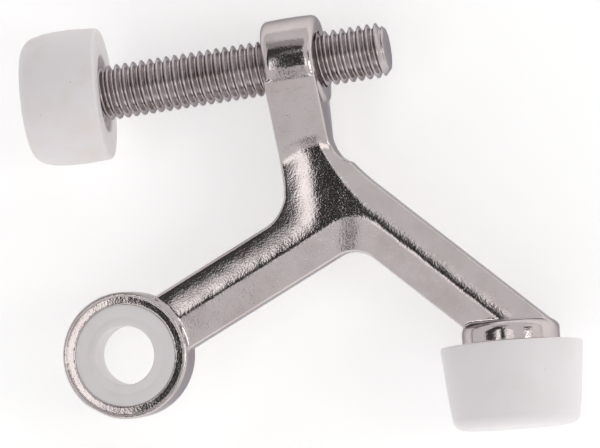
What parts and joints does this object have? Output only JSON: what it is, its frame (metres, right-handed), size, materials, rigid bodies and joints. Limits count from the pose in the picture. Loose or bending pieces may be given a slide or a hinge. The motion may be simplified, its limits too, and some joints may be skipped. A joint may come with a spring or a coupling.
{
  "type": "hinge-pin door stop",
  "caption": "Y-shaped cast door stop that hangs on a hinge pin, with one fixed bumper and one on a threaded rod that screws in and out.",
  "frame": {"origin": "centre of the hinge-pin bore, half way through the ring", "axes": "+Z along the hinge pin, +X from the ring towards the fixed bumper's side, +Y up the upper arm towards the threaded rod"},
  "size_m": [0.0826, 0.0605, 0.0206],
  "materials": {
    "nickel_plate": "bright satin nickel plate on a die casting, with a fine grain",
    "nylon": "natural white nylon, satin",
    "rod_steel": "bright rolled thread",
    "soft_rubber": "matt white rubber with small specks",
    "smooth_rubber": "smooth white rubber with a soft sheen"
  },
  "bodies": {
    "lever": {"casting": "nickel_plate", "pin_bush": "nylon", "fixed_bumper": "smooth_rubber"},
    "adjuster": {"rod_bumper": "soft_rubber"},
    "screw": {"threaded_rod": "rod_steel"}
  },
  "joints": [
    {"name": "screw_travel", "type": "slide", "parent": "lever", "child": "adjuster", "axis": [0.9893, 0.1461, 0], "range_m": [-0.0095, 0.0235]},
    {"name": "screw_turn", "type": "hinge", "parent": "adjuster", "child": "screw", "pos_m": [0.02475, 0.04237, 0], "axis": [0.9893, 0.1461, 0], "range_deg": [-2736, 6768]}
  ],
  "couplings": [
    {"joint": "screw_turn", "follows": "screw_travel", "rad_per_m": 5026.5}
  ]
}
